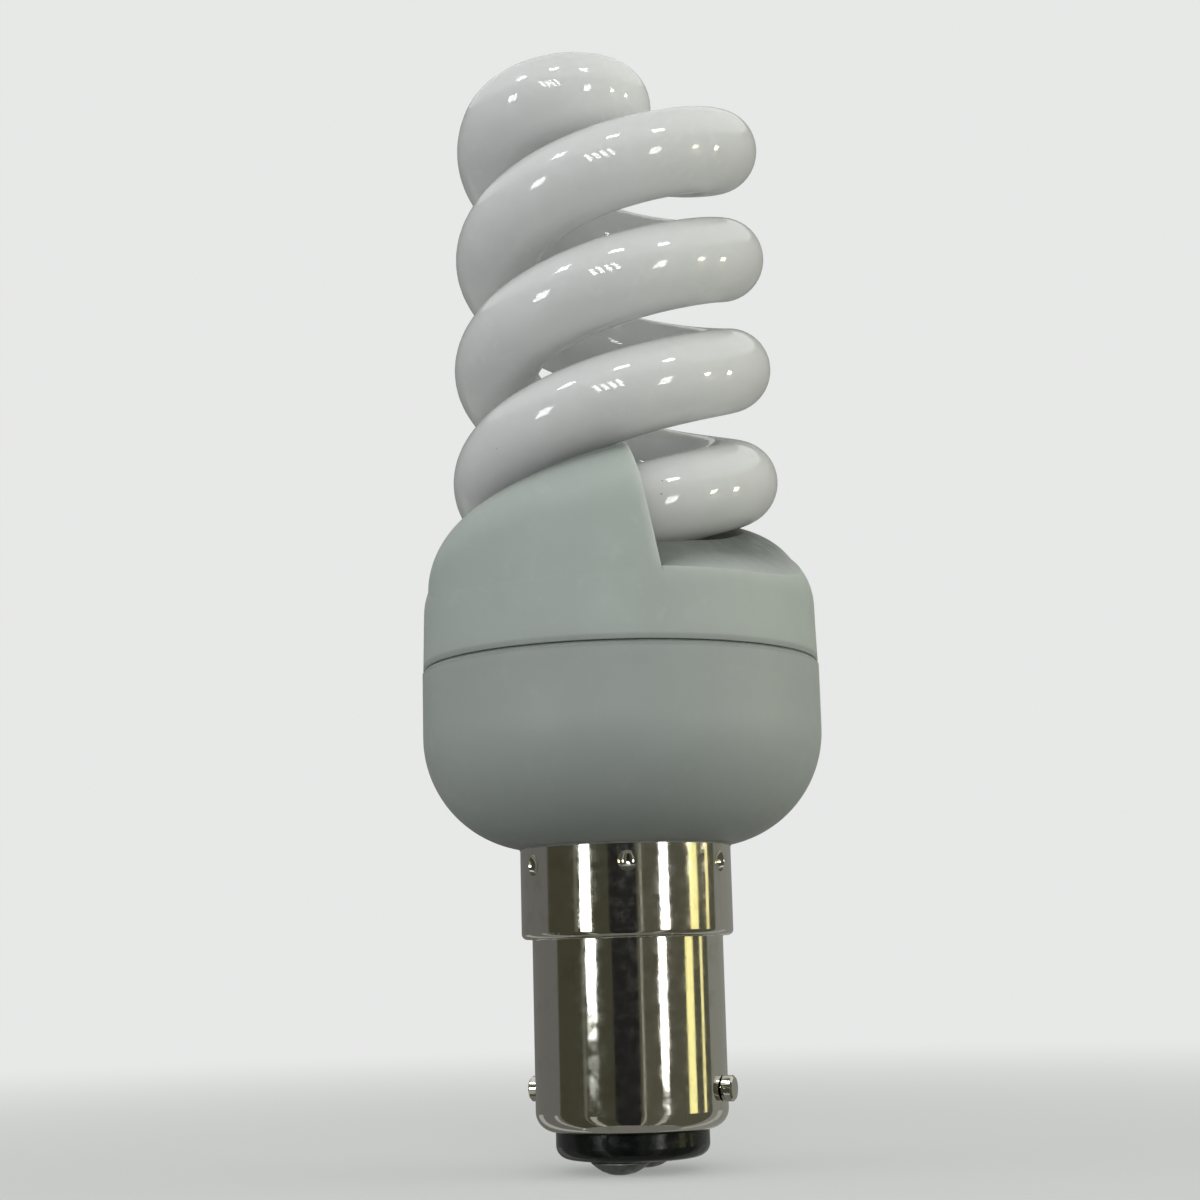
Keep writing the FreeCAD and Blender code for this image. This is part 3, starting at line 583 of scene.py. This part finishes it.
def glow(name, colour):
    material = bpy.data.materials.new(name)
    material.use_nodes = True
    tree = material.node_tree
    tree.nodes.clear()
    emission = tree.nodes.new("ShaderNodeEmission")
    emission.inputs["Color"].default_value = (*colour, 1.0)
    output = tree.nodes.new("ShaderNodeOutputMaterial")
    tree.links.new(emission.outputs["Emission"], output.inputs["Surface"])
    material.cycles.emission_sampling = "NONE"
    return material


def mirrored_only(card):
    card.visible_camera = False
    card.visible_diffuse = False
    card.visible_shadow = False


def screen(name, first, last, low, high, colour, distance):
    """Curved card round the lamp that only reflections see, between two angles and two heights."""
    steps = 16
    vertices = []
    for i in range(steps + 1):
        way = toward(first + (last - first) * i / steps, 0.0) * distance
        for height in (low, high):
            rise = distance * math.tan(math.radians(height))
            vertices.append(LIGHT_TARGET + way + Vector((0.0, 0.0, rise)))
    faces = [(2 * i, 2 * i + 2, 2 * i + 3, 2 * i + 1) for i in range(steps)]
    mirrored_only(stage_mesh(name, vertices, faces, glow(name, colour)))


def make_screens():
    """What the bare metal mirrors: walls, narrow bright openings and dark ground."""
    far = 1.6
    near = 1.5
    low = -58
    high = 32
    low_bands = ((-51, -42), (37, 45), (124, 136), (168, 176), (-150, -134), (-106, -100))
    screen("wall_right", 11, 110, low, high, (0.10, 0.10, 0.075), far)
    screen("wall_left", -94, -19, low, high, (0.065, 0.065, 0.045), far)
    screen("back_right", 110, 180, low, high, (0.27, 0.275, 0.255), far)
    screen("back_left", -180, -94, low, high, (0.165, 0.165, 0.16), far)
    screen("dark_front", -19, 11, low, high, (0.02, 0.02, 0.02), far)
    screen("edge_right", 14.5, 16.5, low, 3, (0.42, 0.42, 0.36), near)
    screen("edge_left", -58, -54, low, 3, (0.14, 0.14, 0.11), near)
    screen("yellow_near", 72, 83, -7, 2.4, (1.45, 1.36, 0.62), near)
    screen("yellow_far", 95, 99.5, -7, 2.4, (1.3, 1.2, 0.58), near)
    for index, (first, last) in enumerate(low_bands):
        screen("low_band_%d" % index, first, last, low, -9, (0.45, 0.45, 0.42), near)
    ground_z = -2.6
    mirrored_only(stage_square("dark_ground", far, ground_z, glow("dark_ground", (0.20, 0.20, 0.185))))


# Backdrop and floor: the tone that is seen, and the tones that light the lamp
PALE = (0.80, 0.81, 0.80)
FILL = (0.43, 0.44, 0.43)
BOUNCE = (0.20, 0.20, 0.20)


def seen_rays(tree):
    """1 for what the camera sees straight, in a reflection or through something."""
    path = tree.nodes.new("ShaderNodeLightPath")
    total = path.outputs["Is Camera Ray"]
    for other in ("Is Glossy Ray", "Is Transmission Ray"):
        node = add_node(tree, "ShaderNodeMath", operation="MAXIMUM")
        tree.links.new(total, node.inputs[0])
        tree.links.new(path.outputs[other], node.inputs[1])
        total = node.outputs["Value"]
    return total


def make_world():
    world = bpy.data.worlds.new("studio")
    world.use_nodes = True
    bpy.context.scene.world = world
    tree = world.node_tree
    tone = mix_colours(tree, seen_rays(tree), FILL, PALE)
    tree.links.new(tone, tree.nodes["Background"].inputs["Color"])


# Floor, which fades into the backdrop with its distance from the lamp
FLOOR_HALF = 4.0
FADE_FROM = 0.04
FADE_TO = 0.24
NEAR_GLOW = 0.35


def make_floor():
    material = bpy.data.materials.new("floor")
    material.use_nodes = True
    tree = material.node_tree
    tree.nodes.clear()
    seen = seen_rays(tree)
    matte = tree.nodes.new("ShaderNodeBsdfDiffuse")
    tree.links.new(mix_colours(tree, seen, BOUNCE, PALE), matte.inputs["Color"])
    far = tree.nodes.new("ShaderNodeEmission")
    far.inputs["Color"].default_value = (*PALE, 1.0)
    place = tree.nodes.new("ShaderNodeTexCoord")
    length = add_node(tree, "ShaderNodeVectorMath", operation="LENGTH")
    tree.links.new(place.outputs["Object"], length.inputs[0])
    fade = add_node(tree, "ShaderNodeMapRange", interpolation_type="SMOOTHSTEP")
    fade.inputs["From Min"].default_value = FADE_FROM
    fade.inputs["From Max"].default_value = FADE_TO
    fade.inputs["To Min"].default_value = NEAR_GLOW
    tree.links.new(length.outputs["Value"], fade.inputs["Value"])
    share = add_node(tree, "ShaderNodeMath", operation="MULTIPLY")
    tree.links.new(fade.outputs["Result"], share.inputs[0])
    tree.links.new(seen, share.inputs[1])
    both = tree.nodes.new("ShaderNodeMixShader")
    tree.links.new(share.outputs["Value"], both.inputs["Fac"])
    tree.links.new(matte.outputs["BSDF"], both.inputs[1])
    tree.links.new(far.outputs["Emission"], both.inputs[2])
    output = tree.nodes.new("ShaderNodeOutputMaterial")
    tree.links.new(both.outputs["Shader"], output.inputs["Surface"])
    material.cycles.emission_sampling = "NONE"
    floor = stage_square("floor", FLOOR_HALF, 0.0, material)
    floor.visible_glossy = False


paints = make_paints()
slots = {entry["node"]: entry["material_slot"] for entry in frame["record"]["subparts"]}
for name, node in nodes.items():
    dress(node, paints[slots[name]])
dress(nodes["upper_cover"], plastic_paint("cover_plastic", COVER_WHITE))
make_pieces(paints)
make_camera()
make_lights()
make_screens()
make_world()
make_floor()
bpy.context.scene.view_settings.view_transform = "Standard"
